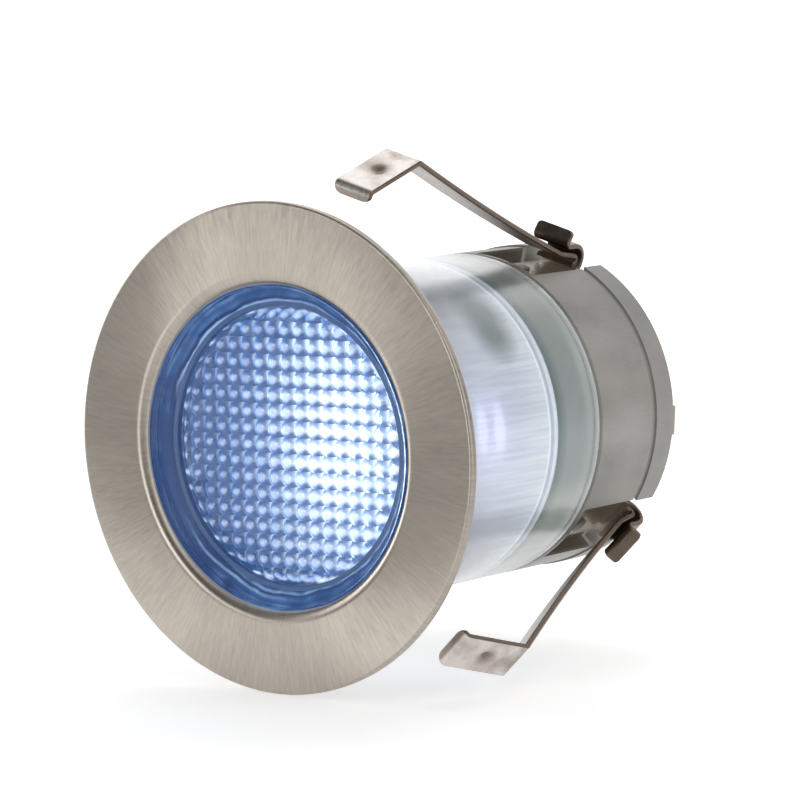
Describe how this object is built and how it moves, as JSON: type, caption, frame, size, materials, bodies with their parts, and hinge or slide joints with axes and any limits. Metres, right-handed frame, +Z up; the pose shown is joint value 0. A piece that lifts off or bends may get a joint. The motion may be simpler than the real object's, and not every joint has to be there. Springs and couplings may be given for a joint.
{
  "type": "recessed submersible pond light",
  "caption": "Recessed submersible pond light: brushed steel face ring, blue-lit prismatic lens, clear sealed body, frosted rear housing and sprung steel fixing clips.",
  "frame": {"origin": "centre of the face ring's back face, where the ring seats on the wall around its cut-out", "axes": "-Y is the way the light shines, +Y runs along the body to the cable inlet, +Z is up as the light sits in an upright wall, +X is to the right seen from the front"},
  "size_m": [0.0494, 0.0451, 0.0492],
  "materials": {
    "brushed_stainless": "satin, brushed across the ring",
    "clip_steel": "semi-gloss spring steel",
    "spring_steel": "semi-gloss spring steel",
    "clear_plastic": "clear gloss",
    "prismatic_plastic": "clear, square prisms",
    "white_sleeve": "satin white",
    "board": "solder mask",
    "lamp": "clear",
    "resistor": "satin",
    "black_plastic": "matte",
    "resin": "cloudy, satin",
    "brass": "bright",
    "clear_sealant": "satin",
    "frosted_plastic": "frosted, slightly glossy",
    "frosted_cover": "frosted, slightly glossy",
    "black_rubber": "matte"
  },
  "bodies": {
    "light": {"bezel_ring": "brushed_stainless", "collar_seal": "black_rubber", "clear_housing": "clear_plastic", "prism_lens": "prismatic_plastic", "light_sleeve": "white_sleeve", "led_board": "board", "led_1": "lamp", "led_2": "lamp", "led_3": "lamp", "resistor_1": "resistor", "resistor_2": "resistor", "rectifier": "black_plastic", "potting_block": "resin", "terminal_post_1": "brass", "terminal_post_2": "brass", "joint_seal": "clear_sealant", "rear_housing": "frosted_plastic", "end_o_ring": "black_rubber", "end_cover": "frosted_cover", "cable_grommet": "black_rubber", "clip_1_anchor": "clip_steel", "clip_2_anchor": "clip_steel", "clip_3_anchor": "clip_steel"},
    "clip_1": {"clip_1_arm": "spring_steel"},
    "clip_2": {"clip_2_arm": "spring_steel"},
    "clip_3": {"clip_3_arm": "spring_steel"}
  },
  "joints": [
    {"name": "clip_1_flex", "type": "hinge", "parent": "light", "child": "clip_1", "pos_m": [0.00427, 0.039, 0.0149], "axis": [0.9613, 0, -0.2756], "range_deg": [0, 12], "stiffness_Nm_per_rad": 0.75},
    {"name": "clip_2_flex", "type": "hinge", "parent": "light", "child": "clip_2", "pos_m": [-0.01504, 0.039, -0.00375], "axis": [-0.2419, 0, 0.9703], "range_deg": [0, 12], "stiffness_Nm_per_rad": 0.75},
    {"name": "clip_3_flex", "type": "hinge", "parent": "light", "child": "clip_3", "pos_m": [0.01077, 0.039, -0.01115], "axis": [-0.7193, 0, -0.6947], "range_deg": [0, 12], "stiffness_Nm_per_rad": 0.75}
  ]
}
